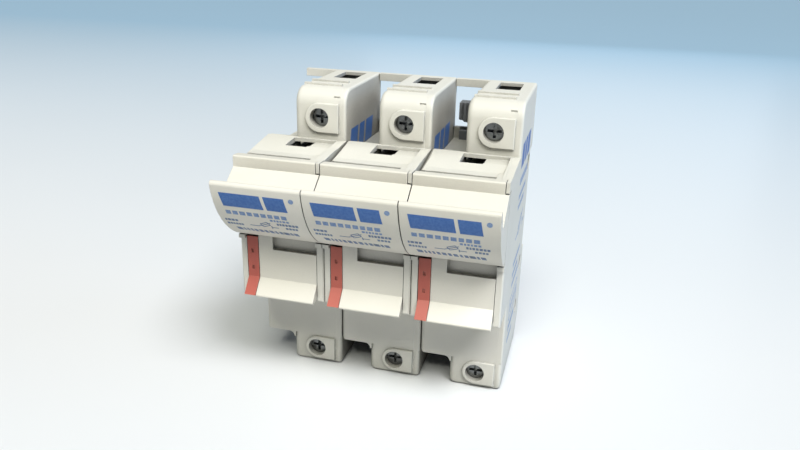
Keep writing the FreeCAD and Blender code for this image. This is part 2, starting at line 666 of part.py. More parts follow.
# --- handle --------------------------------------------------------------------------------


def nose():
    """The full-width front of the handle: finger valley behind the curved label plate."""
    outline = [
        (NOSE_BACK, 18.9),
        (RIDGE_FRONT, 18.9),
        (-60.6, 14.0),
        (-62.6, 12.9, -64.2, 14.6),
        (-66.2, 17.9),
        (-67.2, 18.7, -68.2, 17.6),
        (-63.3, 6.6, PLATE_BOTTOM_Y, PLATE_BOTTOM_Z),
        (NOSE_BACK, 0.3),
    ]
    return side_profile(outline, NOSE_LEFT, NOSE_RIGHT)


def ridge():
    """The bar along the handle's top edge, and the tongue that closes the groove behind it."""
    outline = [
        (RIDGE_BACK, 18.8),
        (RIDGE_FRONT, 18.8),
        (RIDGE_FRONT, 21.7),
        (RIDGE_FRONT + 0.15, RIDGE_TOP - 0.15, RIDGE_FRONT + 0.5, RIDGE_TOP),
        (RIDGE_BACK, 22.0),
    ]
    bar = side_profile(outline, NOSE_LEFT, RIDGE_RIGHT)
    tongue = box(HANDLE_LEFT, 21.8, NOSE_BACK - 0.5, -46.4, 17.6, 19.6)
    return join(bar, tongue)


def panel():
    """The flat panel under the nose, ending in the flared lower lip."""
    outline = [
        (NOSE_BACK - 1.0, 18.8),
        (NOSE_BACK - 1.0, 2.0),
        (PANEL, -0.5),
        (PANEL, -16.1),
        (-55.2, -20.3),
        (-55.3, -21.0, -54.5, -21.1),
        (-49.8, -20.2),
        (-49.8, 18.8),
    ]
    return side_profile(outline, HANDLE_LEFT, HANDLE_RIGHT)


def carrier():
    """The arms behind the panel that hold the fuse, with bosses round the pivot."""
    arm = [
        (-50.5, 8.0),
        (-46.0, 8.0),
        (-32.5, FUSE_TOP - CAP_LENGTH - 0.3),
        (FUSE_Y, FUSE_TOP - CAP_LENGTH - 0.3),
        (FUSE_Y, FUSE_BOTTOM + CAP_LENGTH + 0.3),
        (-33.8, FUSE_BOTTOM + CAP_LENGTH + 0.3),
        (-33.8, -20.6),
        (-50.5, -20.6),
    ]
    left = side_profile(arm, ARM_LEFT, ARM_LEFT + ARM)
    right = side_profile(arm, ARM_RIGHT - ARM, ARM_RIGHT)
    saddle = box(ARM_LEFT, ARM_RIGHT, -33.8, FUSE_Y, FUSE_BOTTOM + CAP_LENGTH + 0.3,
                 FUSE_TOP - CAP_LENGTH - 0.3)
    floor = box(HANDLE_LEFT, HANDLE_RIGHT, -50.5, -33.8, -20.6, -19.4)
    bosses = [rod_u(PIVOT_Y, PIVOT_Z, PIVOT_BOSS, HANDLE_LEFT, ARM_LEFT + 0.5),
              rod_u(PIVOT_Y, PIVOT_Z, PIVOT_BOSS, ARM_RIGHT - 0.5, HANDLE_RIGHT)]
    lever_backing = box(HANDLE_LEFT, LEVER_RIGHT + 1.4, -50.5, -47.6, -19.5, 0.0)
    return [left, right, saddle, floor, lever_backing] + bosses


def lever_slot():
    """The channel for the lock lever, open to the left and to the front."""
    outline = [
        (PANEL - 6.0, -2.0),
        (LEVER_PIVOT_Y + 1.6, -2.0),
        (LEVER_PIVOT_Y + 1.6, -6.0),
        (LEVER_PIVOT_Y + 0.4, -7.6),
        (LEVER_PIVOT_Y + 0.4, -16.9),
        (-51.9, -24.0),
        (PANEL - 6.0, -24.0),
    ]
    return side_profile(outline, HANDLE_LEFT - 1.0, LEVER_RIGHT + SLIDE_GAP)


def handle(index):
    """Handle and fuse carrier of one pole, in one moulding."""
    body = join(nose(), ridge(), panel(), *carrier())
    fuse_room = rod_z(FUSE_U, FUSE_Y, TUBE_RADIUS, FUSE_BOTTOM - 1.0, FUSE_TOP + 1.0)
    pocket = box(POCKET_LEFT, HANDLE_RIGHT + 1.0, PANEL - 0.1, PANEL + POCKET_DEPTH,
                 POCKET_LOW, POCKET_HIGH)
    pin = rod_u(PIVOT_Y, PIVOT_Z, PIVOT_RADIUS + PIN_GAP, -1.0, POLE_WIDTH + 1.0)
    stub = rod_u(LEVER_PIVOT_Y, LEVER_PIVOT_Z, LEVER_STUB + PIN_GAP, LEVER_RIGHT - 1.0, STUB_END)
    tie_start = TIE_END_MARGIN if index == 0 else -1.0
    tie_end = POLE_WIDTH - TIE_END_MARGIN if index == POLES - 1 else POLE_WIDTH + 1.0
    gap = 0.0 if index == POLES // 2 else PIN_GAP
    tie = rod_u(TIE_Y, TIE_Z, TIE_RADIUS + gap, tie_start, tie_end)
    return cut(body, fuse_room, lever_slot(), pocket, pin, stub, tie)


def lock_lever():
    """The red lever that folds out of the handle to take a padlock."""
    outline = [
        (LEVER_PIVOT_Y - 1.6, -2.9),
        (LEVER_PIVOT_Y - 0.2, -2.9),
        (LEVER_PIVOT_Y + 1.0, -3.2, LEVER_PIVOT_Y + 1.2, -4.2),
        (LEVER_PIVOT_Y + 1.2, -5.0),
        (LEVER_PIVOT_Y + 0.2, -7.0),
        (LEVER_PIVOT_Y + 0.2, -16.6),
        (-54.2, -21.3),
        (-55.7, -20.6),
        (LEVER_PIVOT_Y - 1.6, -16.0),
    ]
    blade = side_profile(outline, HANDLE_LEFT + SLIDE_GAP, LEVER_RIGHT)
    stub = rod_u(LEVER_PIVOT_Y, LEVER_PIVOT_Z, LEVER_STUB, LEVER_RIGHT - 0.5, STUB_END - SLIDE_GAP)
    face = LEVER_PIVOT_Y - 1.6
    dimples = [box(DIMPLE_LEFT, DIMPLE_LEFT + 0.8, face - 1.0, face + 0.35, z, z + 1.2)
               for z in DIMPLES]
    return cut(join(blade, stub), *dimples)


def pivot_pin():
    return rod_u(PIVOT_Y, PIVOT_Z, PIVOT_RADIUS, PIN_LEFT, PIN_RIGHT)


# --- rail clips ----------------------------------------------------------------------------


def ribbed_grip(z0, z1, front, back):
    """A finger grip with upright ribs on its front."""
    left = CLIP_LEFT + 0.1
    right = CLIP_RIGHT + 0.8
    block = box(left, right, front, back, z0, z1)
    ribs = 5
    width = (right - left) / (2 * ribs - 1)
    grooves = [box(left + (2 * i + 1) * width, left + (2 * i + 2) * width, front - 1.0, front + 0.7,
                   z0 - 1.0, z1 + 1.0) for i in range(ribs - 1)]
    return cut(block, *grooves)


def rail_hook(side):
    """The clip's end behind the rail's flange, with a lead-in chamfer; side is 1 above, -1 below."""
    outline = [
        (HOOK_FRONT, side * HOOK_REACH),
        (HOOK_BACK - 1.6, side * HOOK_REACH),
        (HOOK_BACK, side * (HOOK_REACH + 1.6)),
        (HOOK_BACK, side * (RAIL_HALF + 2.0)),
        (HOOK_FRONT, side * (RAIL_HALF + 2.0)),
    ]
    return side_profile(outline, CLIP_LEFT, CLIP_RIGHT)


def upper_rail_clip():
    """Slides up to free the rail's upper flange; its grip stands in the notch by the tower."""
    plate = box(CLIP_LEFT, CLIP_RIGHT, HOOK_FRONT, HOOK_BACK, RAIL_HALF + 1.0, BODY_TOP - 0.6)
    stem = box(STEM_LEFT, CLIP_RIGHT, HOOK_FRONT, HOOK_BACK, BODY_TOP - 1.0, GRIP_LOW + 1.0)
    grip = ribbed_grip(GRIP_LOW, GRIP_HIGH, -0.6, HOOK_BACK + 0.6)
    corner = [
        FreeCAD.Vector(CLIP_LEFT - 1.0, -2.0, GRIP_LOW - 1.0),
        FreeCAD.Vector(STEM_LEFT, -2.0, GRIP_LOW - 1.0),
        FreeCAD.Vector(STEM_LEFT, -2.0, GRIP_LOW),
        FreeCAD.Vector(CLIP_LEFT - 1.0, -2.0, GRIP_LOW + 1.7),
    ]
    face = Part.Face(Part.makePolygon(corner + [corner[0]]))
    slant = face.extrude(FreeCAD.Vector(0, HOOK_BACK + 4.0, 0))
    return join(rail_hook(1), plate, stem, cut(grip, slant))


def lower_rail_clip():
    """Slides down to free the rail's lower flange; a screwdriver pulls on its slotted tab."""
    plate = box(CLIP_LEFT, CLIP_RIGHT, HOOK_FRONT, HOOK_BACK, TAB_HIGH - 1.1, -RAIL_HALF - 1.0)
    tab = ribbed_grip(TAB_LOW, TAB_HIGH, -2.0, HOOK_BACK)
    pry_slot = box(CLIP_LEFT + 1.2, CLIP_RIGHT - 1.2, HOOK_FRONT - 0.4, HOOK_BACK + 1.0,
                   TAB_LOW + 1.6, TAB_HIGH - 2.0)
    return cut(join(rail_hook(-1), plate, tab), pry_slot)


# --- shared fasteners ----------------------------------------------------------------------


def long_rivets():
    """The rivets that hold the three poles together, headed at both ends."""
    last = (POLES - 1) * PITCH + POLE_WIDTH
    rivets = []
    for y, z in RIVETS:
        shank = rod_u(y, z, RIVET_RADIUS, 0.2, last - 0.2)
        heads = [rod_u(y, z, RIVET_HEAD, 0.2, RIVET_HEAD_DEPTH),
                 rod_u(y, z, RIVET_HEAD, last - RIVET_HEAD_DEPTH, last - 0.2)]
        rivets.append(join(shank, *heads))
    return rivets


def handle_tie_rod():
    """The rod through all three handles, so that they switch together."""
    last = (POLES - 1) * PITCH + POLE_WIDTH
    return rod_u(TIE_Y, TIE_Z, TIE_RADIUS, TIE_END_MARGIN + SLIDE_GAP, last - TIE_END_MARGIN - SLIDE_GAP)


def write(name, solids, pole):
    """Writes one node, moved from pole coordinates into the frame."""
    start = -((POLES - 1) * PITCH + POLE_WIDTH) / 2
    shape = solids[0] if len(solids) == 1 else Part.makeCompound(solids)
    shape = shape.copy()
    shape.translate(FreeCAD.Vector(start + pole * PITCH, 0, 0))
    shape.exportStep(os.path.join("parts", name + ".step"))


def main():
    os.makedirs("parts", exist_ok=True)
    blank = pole_blank()
    shared = {
        "lock_lever": [lock_lever()],
        "fuse_tube": [fuse_tube()],
        "fuse_caps": fuse_caps(),
        "fuse_element": [fuse_element()],
        "upper_contact": [upper_contact()],
        "lower_contact": [lower_contact()],
        "contact_springs": contact_springs(),
        "pivot_pin": [pivot_pin()],
        "top_terminal_screw": [
            terminal_screw(TOP_TERMINAL_Z, TOWER_FRONT + TOP_HEAD_BACK, TOP_TAB)],
        "bottom_terminal_screw": [
            terminal_screw(BOTTOM_TERMINAL_Z, LOWER_FRONT + BOTTOM_HEAD_BACK, BOTTOM_TAB)],
        "top_cage_clamp": [cage_clamp(TOP_TERMINAL_Z, TOP_TAB, TOP_WIRE, 4.6)],
        "bottom_cage_clamp": [cage_clamp(BOTTOM_TERMINAL_Z, BOTTOM_TAB, BOTTOM_WIRE, 3.5)],
        "upper_rail_clip": [upper_rail_clip()],
        "lower_rail_clip": [lower_rail_clip()],
    }
    for pole in range(POLES):
        number = str(pole + 1)
        write("housing_base_" + number, [housing_base(blank, pole == 0)], pole)
        write("side_cover_" + number, [side_cover(blank, pole == POLES - 1)], pole)
        write("handle_" + number, [handle(pole)], pole)
        for name, solids in shared.items():
            write(name + "_" + number, solids, pole)
    write("long_rivets", long_rivets(), 0)
    write("handle_tie_rod", [handle_tie_rod()], 0)


main()
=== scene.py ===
import json
import math
import random

import bmesh
import bpy
from mathutils import Matrix, Vector


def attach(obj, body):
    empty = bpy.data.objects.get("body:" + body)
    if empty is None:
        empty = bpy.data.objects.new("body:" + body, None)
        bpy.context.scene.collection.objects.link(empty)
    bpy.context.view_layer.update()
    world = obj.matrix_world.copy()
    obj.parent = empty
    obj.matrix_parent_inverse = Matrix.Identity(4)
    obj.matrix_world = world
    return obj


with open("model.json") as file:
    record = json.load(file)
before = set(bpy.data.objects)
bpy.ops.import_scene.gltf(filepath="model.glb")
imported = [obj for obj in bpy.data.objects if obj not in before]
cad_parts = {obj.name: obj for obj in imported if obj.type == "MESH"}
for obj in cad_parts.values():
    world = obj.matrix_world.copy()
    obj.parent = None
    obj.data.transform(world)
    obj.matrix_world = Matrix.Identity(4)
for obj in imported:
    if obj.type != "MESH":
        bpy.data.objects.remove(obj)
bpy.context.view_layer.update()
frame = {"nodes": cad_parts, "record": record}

# Lengths are in millimetres until a mesh is made; MM turns them into metres.
MM = 0.001
POLES = (1, 2, 3)
PITCH = 26.5
POLE_WIDTH = 26.3
LEFT_END = -39.65
FLOOR_Z = -52.0

# The curved label plate on the handle, seen from the side: an arc from its lip downward.
PLATE_CENTRE = (-41.021, 23.116)
PLATE_RADIUS = 27.733
PLATE_START = math.radians(-168.528)

PLATE_INK = 0.035         # thickness of the printing on the label plates
SIDE_INK = 0.015          # and on the side covers


def left_of(pole):
    """The x of a pole's left face."""
    return LEFT_END + (pole - 1) * PITCH


def make_mesh(name, verts, faces, material, body):
    """A piece from points in millimetres that rides on a body, its faces turned outward."""
    mesh = bpy.data.meshes.new(name)
    mesh.from_pydata([tuple(c * MM for c in v) for v in verts], [], faces)
    work = bmesh.new()
    work.from_mesh(mesh)
    bmesh.ops.recalc_face_normals(work, faces=work.faces)
    work.to_mesh(mesh)
    work.free()
    obj = bpy.data.objects.new(name, mesh)
    bpy.context.scene.collection.objects.link(obj)
    mesh.materials.append(material)
    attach(obj, body)


# --- shader parts ------------------------------------------------------------------------------


def is_socket(value):
    return isinstance(value, bpy.types.NodeSocket)


def mix(nodes, links, factor, a, b, kind="RGBA"):
    """A Mix node; factor, a and b are sockets or plain values."""
    node = nodes.new("ShaderNodeMix")
    node.data_type = kind
    pair = [s for s in node.inputs if s.enabled and s.name in ("A", "B")]
    for socket, value in zip([node.inputs[0]] + pair, (factor, a, b)):
        if is_socket(value):
            links.new(value, socket)
        elif kind == "RGBA" and socket is not node.inputs[0]:
            socket.default_value = (*value, 1.0)
        else:
            socket.default_value = value
    return [s for s in node.outputs if s.enabled][0]


def times(nodes, links, value, other):
    """The product of a socket and a second socket or a number."""
    node = nodes.new("ShaderNodeMath")
    node.operation = "MULTIPLY"
    links.new(value, node.inputs[0])
    if is_socket(other):
        links.new(other, node.inputs[1])
    else:
        node.inputs[1].default_value = other
    return node.outputs[0]


def ramp(nodes, links, value, low, high):
    """0 at low, 1 at high, in between in proportion, held beyond both ends."""
    node = nodes.new("ShaderNodeMapRange")
    node.inputs["From Min"].default_value = low
    node.inputs["From Max"].default_value = high
    links.new(value, node.inputs["Value"])
    return node.outputs["Result"]


def noise(nodes, links, where, scale, detail=3.0, stretch=None):
    """A noise pattern in the part's own coordinates; scale is patterns per metre."""
    vector = where
    if stretch:
        mapping = nodes.new("ShaderNodeMapping")
        mapping.inputs["Scale"].default_value = stretch
        links.new(where, mapping.inputs["Vector"])
        vector = mapping.outputs["Vector"]
    node = nodes.new("ShaderNodeTexNoise")
    node.inputs["Scale"].default_value = scale
    node.inputs["Detail"].default_value = detail
    links.new(vector, node.inputs["Vector"])
    return node.outputs["Fac"]


def openness(nodes, links, distance):
    """1 in the open, towards 0 where other surfaces stand within distance (in metres)."""
    node = nodes.new("ShaderNodeAmbientOcclusion")
    node.samples = 4
    node.inputs["Distance"].default_value = distance
    return node.outputs["AO"]


def rounded_normal(nodes, radius):
    """The surface's direction as if its edges had this radius (in metres)."""
    node = nodes.new("ShaderNodeBevel")
    node.samples = 4
    node.inputs["Radius"].default_value = radius
    return node.outputs["Normal"]


def edge_mask(nodes, links, radius):
    """1 near an edge, 0 on a flat: how far the rounded normal leans from the true one."""
    geometry = nodes.new("ShaderNodeNewGeometry")
    dot = nodes.new("ShaderNodeVectorMath")
    dot.operation = "DOT_PRODUCT"
    links.new(geometry.outputs["True Normal"], dot.inputs[0])
    links.new(rounded_normal(nodes, radius), dot.inputs[1])
    return ramp(nodes, links, dot.outputs["Value"], 0.995, 0.80)


def bump(nodes, links, height, strength, distance, normal=None):
    """Relief from a height pattern; distance is its depth in metres."""
    node = nodes.new("ShaderNodeBump")
    node.inputs["Strength"].default_value = strength
    node.inputs["Distance"].default_value = distance
    links.new(height, node.inputs["Height"])
    if normal:
        links.new(normal, node.inputs["Normal"])
    return node.outputs["Normal"]


def darker(colour, share):
    return tuple(share * c for c in colour)


def new_material(name):
    """An empty material with its output, shader and part coordinates."""
    material = bpy.data.materials.new(name)
    material.use_nodes = True
    tree = material.node_tree
    nodes, links = tree.nodes, tree.links
    nodes.clear()
    shader = nodes.new("ShaderNodeBsdfPrincipled")
    output = nodes.new("ShaderNodeOutputMaterial")
    links.new(shader.outputs["BSDF"], output.inputs["Surface"])
    where = nodes.new("ShaderNodeTexCoord").outputs["Object"]
    return material, nodes, links, shader, where


# --- materials ---------------------------------------------------------------------------------

# Patterns per metre.
DRIFT_SCALE = 28.0        # slow change of the plastic's colour
SINK_SCALE = 45.0         # shallow waves of a moulded wall
SMEAR_SCALE = 60.0        # patches of different gloss
RUB_SCALE = 260.0         # gaps in the wear along edges
TARNISH_SCALE = 330.0
STREAK_SCALE = 700.0      # brushing of metal
SPECK_SCALE = 900.0       # specks in the plastic
COVER_SCALE = 1500.0      # uneven cover of ink
GRAIN_SCALE = 2600.0      # spark-eroded grain of the mould

CORNER_SHADE_REACH = 0.0025      # painted shade darkens corners this close to another surface, in metres
HOLLOW_SHADE_REACH = 0.016      # and painted shade darkens recesses over this distance
WEAR_RADIUS = 0.00035


def plastic(name, colour, shade, worn, roughness, corner_shade_share=0.25):
    """Moulded plastic: fine grain, slow colour drift, painted shade in corners and recesses, rubbed
    edges.
    """
    material, nodes, links, shader, where = new_material(name)
    drift = ramp(nodes, links, noise(nodes, links, where, DRIFT_SCALE, 2.0), 0.35, 0.65)
    base = mix(nodes, links, drift, colour, shade)
    speck = ramp(nodes, links, noise(nodes, links, where, SPECK_SCALE, 2.0), 0.70, 0.80)
    base = mix(nodes, links, times(nodes, links, speck, 0.05), base, darker(colour, 0.55))
    # painted shade: darker where another surface stands within a few millimetres, as in corners and
    # creases
    corner_shade = ramp(nodes, links, openness(nodes, links, CORNER_SHADE_REACH), 0.75, 0.15)
    base = mix(nodes, links, times(nodes, links, corner_shade, corner_shade_share), base, darker(shade, 0.45))
    # painted shade: recesses and the faces under overhangs turn much darker
    hollow_shade = ramp(nodes, links, openness(nodes, links, HOLLOW_SHADE_REACH), 0.74, 0.06)
    base = mix(nodes, links, times(nodes, links, hollow_shade, 0.85), base, darker(shade, 0.10))
    patchy = ramp(nodes, links, noise(nodes, links, where, RUB_SCALE, 4.0), 0.42, 0.62)
    rub = times(nodes, links, edge_mask(nodes, links, WEAR_RADIUS), patchy)
    links.new(mix(nodes, links, rub, base, worn), shader.inputs["Base Color"])
    smear = ramp(nodes, links, noise(nodes, links, where, SMEAR_SCALE, 4.0), 0.3, 0.7)
    rough = mix(nodes, links, smear, roughness - 0.05, roughness + 0.05, "FLOAT")
    links.new(rough, shader.inputs["Roughness"])
    waves = bump(nodes, links, noise(nodes, links, where, SINK_SCALE, 1.0), 0.25, 0.0003,
                 rounded_normal(nodes, 0.0002))
    grain = bump(nodes, links, noise(nodes, links, where, GRAIN_SCALE), 0.35, 0.00002, waves)
    links.new(grain, shader.inputs["Normal"])
    shader.inputs["Specular IOR Level"].default_value = 0.45
    return material


def metal(name, colour, dull, roughness, brush, spots=0.3, strength=0.3):
    """Plated or rolled metal: streaks along the brushing, tarnish spots, bright rubbed edges."""
    material, nodes, links, shader, where = new_material(name)
    streak = noise(nodes, links, where, STREAK_SCALE, 3.0, brush)
    tarnish = ramp(nodes, links, noise(nodes, links, where, TARNISH_SCALE, 5.0), 0.48, 0.68)
    share = times(nodes, links, tarnish, spots)
    base = mix(nodes, links, ramp(nodes, links, streak, 0.3, 0.7), colour, darker(colour, 0.82))
    base = mix(nodes, links, share, base, dull)
    bright = tuple(min(1.0, 1.25 * c) for c in colour)
    base = mix(nodes, links, edge_mask(nodes, links, 0.0002), base, bright)
    links.new(base, shader.inputs["Base Color"])
    shader.inputs["Metallic"].default_value = 1.0
    rough = mix(nodes, links, share, roughness, roughness + 0.35, "FLOAT")
    links.new(rough, shader.inputs["Roughness"])
    links.new(bump(nodes, links, streak, strength, 0.00003), shader.inputs["Normal"])
    return material


def ink(name, colour, light):
    """Pad-printed ink: slightly uneven cover and gloss."""
    material, nodes, links, shader, where = new_material(name)
    cover = ramp(nodes, links, noise(nodes, links, where, COVER_SCALE, 4.0), 0.35, 0.75)
    links.new(mix(nodes, links, cover, colour, light), shader.inputs["Base Color"])
    rough = mix(nodes, links, noise(nodes, links, where, 300.0), 0.35, 0.6, "FLOAT")
    links.new(rough, shader.inputs["Roughness"])
    relief = bump(nodes, links, noise(nodes, links, where, 3000.0), 0.2, 0.00001)
    links.new(relief, shader.inputs["Normal"])
    return material


looks = {
    "housing_plastic": plastic("housing_plastic", (0.80, 0.78, 0.71), (0.76, 0.74, 0.66),
                               (0.86, 0.85, 0.80), 0.50, corner_shade_share=0.12),
    "handle_plastic": plastic("handle_plastic", (0.82, 0.79, 0.71), (0.78, 0.75, 0.66),
                              (0.88, 0.86, 0.80), 0.42, corner_shade_share=0.12),
    "red_plastic": plastic("red_plastic", (0.55, 0.140, 0.105), (0.48, 0.105, 0.080),
                           (0.66, 0.28, 0.22), 0.42),
    "grey_plastic": plastic("grey_plastic", (0.20, 0.21, 0.22), (0.16, 0.17, 0.18),
                            (0.34, 0.35, 0.36), 0.50),
    "ceramic": plastic("ceramic", (0.80, 0.77, 0.71), (0.74, 0.71, 0.64), (0.85, 0.83, 0.79),
                       0.62),
    "nickel": metal("nickel", (0.66, 0.63, 0.58), (0.40, 0.36, 0.30), 0.25, (0.4, 0.4, 6.0)),
    "silver": metal("silver", (0.80, 0.80, 0.78), (0.50, 0.46, 0.36), 0.30, (6.0, 1.0, 0.4)),
    "tinned_copper": metal("tinned_copper", (0.62, 0.60, 0.57), (0.45, 0.33, 0.22), 0.32,
                           (1.0, 0.3, 4.0), 0.35),
    "spring_steel": metal("spring_steel", (0.26, 0.28, 0.33), (0.12, 0.11, 0.11), 0.35,
                          (0.5, 0.5, 5.0)),
    "zinc_steel": metal("zinc_steel", (0.26, 0.27, 0.27), (0.10, 0.09, 0.08), 0.20,
                        (2.0, 0.5, 2.0), 0.60),
}
blue_ink = ink("blue_ink", (0.045, 0.14, 0.43), (0.08, 0.20, 0.50))
pale_ink = ink("pale_ink", (0.16, 0.27, 0.52), (0.30, 0.40, 0.58))
fine_ink = ink("fine_ink", (0.10, 0.17, 0.33), (0.20, 0.28, 0.42))

slots = {row["node"]: row["material_slot"] for row in frame["record"]["subparts"]}
for node, obj in frame["nodes"].items():
    obj.data.materials.clear()
    obj.data.materials.append(looks[slots[node]])


# --- printing ----------------------------------------------------------------------------------
# A mark is an outline and its number of rows. An outline gives the left and the right point at
# each share t from 0 to 1 along the mark.


def plate_point(u, s, lift):
    """A place on the label plate: u across the pole, s down from the lip, lift off the surface."""
    angle = PLATE_START + s / PLATE_RADIUS
    radius = PLATE_RADIUS + lift
    return (u, PLATE_CENTRE[0] + radius * math.cos(angle),
            PLATE_CENTRE[1] + radius * math.sin(angle))


def slab(outline, place, rows, thick):
    """A closed thin slab that fills an outline."""
    verts, faces = [], []
    for lift in (0.0, thick):
        for i in range(rows + 1):
            left, right = outline(i / rows)
            verts.append(place(*left, lift))
            verts.append(place(*right, lift))
    top = 2 * (rows + 1)
    for i in range(rows):
        a = 2 * i
        faces.append((a, a + 1, a + 3, a + 2))
        faces.append((top + a, top + a + 2, top + a + 3, top + a + 1))
        faces.append((a, a + 2, top + a + 2, top + a))
        faces.append((a + 1, top + a + 1, top + a + 3, a + 3))
    faces.append((0, top, top + 1, 1))
    last = 2 * rows
    faces.append((last, last + 1, top + last + 1, top + last))
    return verts, faces


def bar(u0, u1, s0, s1, slant=0.0):
    """A bar's outline, leaning by slant over its height."""
    def outline(t):
        lean = slant * (t - 0.5)
        s = s0 + (s1 - s0) * t
        return (u0 + lean, s), (u1 + lean, s)
    return outline


def disc(u, s, radius):
    """A round dot's outline; its two ends stay a little wide, so that no face collapses."""
    def outline(t):
        half = radius * math.sin(math.pi * min(max(t, 0.04), 0.96))
        where = s - radius * math.cos(math.pi * t)
        return (u - half, where), (u + half, where)
    return outline


def stroke(a, b, width):
    """A straight line's outline from a to b."""
    ax, ay = a
    bx, by = b
    length = math.hypot(bx - ax, by - ay)
    nx, ny = -(by - ay) / length * width / 2, (bx - ax) / length * width / 2

    def outline(t):
        x, y = ax + (bx - ax) * t, ay + (by - ay) * t
        return (x - nx, y - ny), (x + nx, y + ny)
    return outline


def print_piece(name, marks, place, material, body, thick):
    """One piece of printing from several marks."""
    verts, faces = [], []
    for outline, rows in marks:
        v, f = slab(outline, place, rows, thick)
        faces += [tuple(i + len(verts) for i in face) for face in f]
        verts += v
    make_mesh(name, verts, faces, material, body)


def dashes(rng, left, right, start, height, shortest, longest, gap):
    """A row of dashes of uneven length, in place of words."""
    marks = []
    u = left
    while u < right - shortest:
        wide = min(rng.uniform(shortest, longest), right - u)
        marks.append((bar(u, u + wide, start, start + height), 1))
        u += wide + gap
    return marks


# On a label plate: u across, s down from the lip.
BIG_BARS = ((2.6, 14.6), (15.6, 21.6))
BIG_START, BIG_END = 2.0, 6.6
SMALL_ROWS = ((1.5, 5.8, 12.2), (1.5, 7.0, 14.2), (17.2, 23.6, 11.9), (19.4, 23.6, 13.7))
SWITCH_FUSE = (           # lines of the symbol, each with its number of rows
    ((8.6, 14.4), (11.2, 14.4), 1),
    ((11.2, 14.4), (15.2, 12.2), 4),
    ((15.2, 14.4), (17.2, 14.4), 1),
    ((12.0, 13.1), (14.3, 11.9), 3),
    ((12.7, 14.5), (15.0, 13.3), 3),
    ((12.0, 13.1), (12.7, 14.5), 3),
    ((14.3, 11.9), (15.0, 13.3), 3),
    ((15.2, 13.7), (15.2, 15.1), 3),
)
LABEL_LINE = 0.28
CODE_START, CODE_END, CODE_GAP = 16.9, 18.7, 0.55
CODE_LEFT = 3.4
CODE_WIDTHS = (1.5, 0.5, 0.6, 0.6, 0.9, 1.1, 0.9, 1.2, 0.7, 1.0, 0.8)
CODE_ENDS = ((17.7, 19.3), (19.7, 20.4), (20.8, 22.1))


def label(pole):
    """The printing on one label plate: plain bars, rows of dashes, a switch-fuse symbol."""
    rng = random.Random(11)
    x = left_of(pole)

    def place(u, s, lift):
        px, py, pz = plate_point(u, s, lift)
        return (x + px, py, pz)

    def piece(kind, marks, material):
        print_piece(f"label_{kind}_{pole}", marks, place, material, f"handle_{pole}", PLATE_INK)

    piece("bars", [(bar(u0, u1, BIG_START, BIG_END, 0.6), 6) for u0, u1 in BIG_BARS], blue_ink)
    second = dashes(rng, 2.9, 21.6, 8.3, 1.5, 1.3, 1.7, 0.55)
    second += dashes(rng, 15.6, 21.2, 10.4, 0.8, 0.5, 0.9, 0.3)
    second += [(disc(23.4, 2.6, 0.75), 8)]
    piece("dashes", second, pale_ink)
    small = []
    for left, right, start in SMALL_ROWS:
        small += dashes(rng, left, right, start, 1.0, 0.5, 0.9, 0.25)
    small += [(stroke(a, b, LABEL_LINE), rows) for a, b, rows in SWITCH_FUSE]
    piece("symbol", small, fine_ink)
    marks = []
    u = CODE_LEFT
    for wide in CODE_WIDTHS:
        marks.append((bar(u, u + wide, CODE_START, CODE_END, 0.3), 2))
        u += wide + CODE_GAP
    marks += [(bar(u0, u1, CODE_START, CODE_END, 0.3), 2) for u0, u1 in CODE_ENDS]
    piece("marks", marks, fine_ink)


# On a side cover: y to the back, z up.
SIDE_BARS = ((-27.0, -20.0), (-18.4, -13.4), (-11.8, -4.6))
SIDE_BARS_LOW, SIDE_BARS_HIGH, SIDE_LEAN = 18.6, 25.8, 1.4
SIDE_LEFT = -27.0
SIDE_ROWS = (             # foot, height and right end
    (8.6, 1.6, -9.0),
    (5.4, 1.6, -12.0),
    (-13.5, 1.6, -8.0),
    (-17.0, 1.6, -13.0),
    (-20.5, 1.6, -10.0),
    (-36.0, 2.2, -12.0),
    (-40.0, 1.6, -15.0),
)
SIDE_SYMBOL = (
    ((-27.0, -4.0), (-22.0, -4.0)),
    ((-22.0, -4.0), (-9.5, 0.6)),
    ((-9.0, -4.0), (-4.5, -4.0)),
    ((-9.0, -5.4), (-9.0, -2.6)),
    ((-19.6, -5.0), (-12.6, -2.4)),
    ((-20.6, -2.2), (-13.6, 0.4)),
    ((-20.6, -2.2), (-19.6, -5.0)),
    ((-13.6, 0.4), (-12.6, -2.4)),
)
SIDE_FRAME = (
    ((-28.0, -24.5), (-8.0, -24.5)),
    ((-28.0, -31.5), (-8.0, -31.5)),
    ((-27.75, -24.5), (-27.75, -31.5)),
    ((-8.25, -24.5), (-8.25, -31.5)),
)
SIDE_LINE = 0.5
TICKS = (-25.6, -22.6, -19.6, -16.6, -13.6, -10.8)


def side_print(pole):
    """The printing on a side cover's outer face: leaning bars, rows of dashes, a symbol."""
    rng = random.Random(23)
    face = left_of(pole) + POLE_WIDTH

    def place(y, z, lift):
        return (face + lift, y, z)

    def piece(kind, marks, material):
        print_piece(f"side_{kind}_{pole}", marks, place, material, "housing", SIDE_INK)

    piece("bars", [(bar(y0, y1, SIDE_BARS_LOW, SIDE_BARS_HIGH, SIDE_LEAN), 4)
                   for y0, y1 in SIDE_BARS], blue_ink)
    rows = dashes(rng, SIDE_LEFT, -6.0, 13.2, 2.2, 1.6, 2.6, 0.7)
    for foot, height, end in SIDE_ROWS:
        rows += dashes(rng, SIDE_LEFT, end, foot, height, 0.9, 1.8, 0.5)
    piece("dashes", rows, pale_ink)
    lines = [(stroke(a, b, SIDE_LINE), 1) for a, b in SIDE_SYMBOL + SIDE_FRAME]
    ticks = [(bar(y, y + 1.2, -29.6, -26.4), 1) for y in TICKS]
    piece("symbol", lines + ticks, pale_ink)


for pole in POLES:
    label(pole)
    side_print(pole)


# --- floor, light and camera ---------------------------------------------------------------------

FLOOR_HALF = 6.0          # metres
FAR_BLUE = (0.42, 0.62, 0.80)
SOFT_ANGLE = 24.0         # apparent width of the two main lights, in degrees


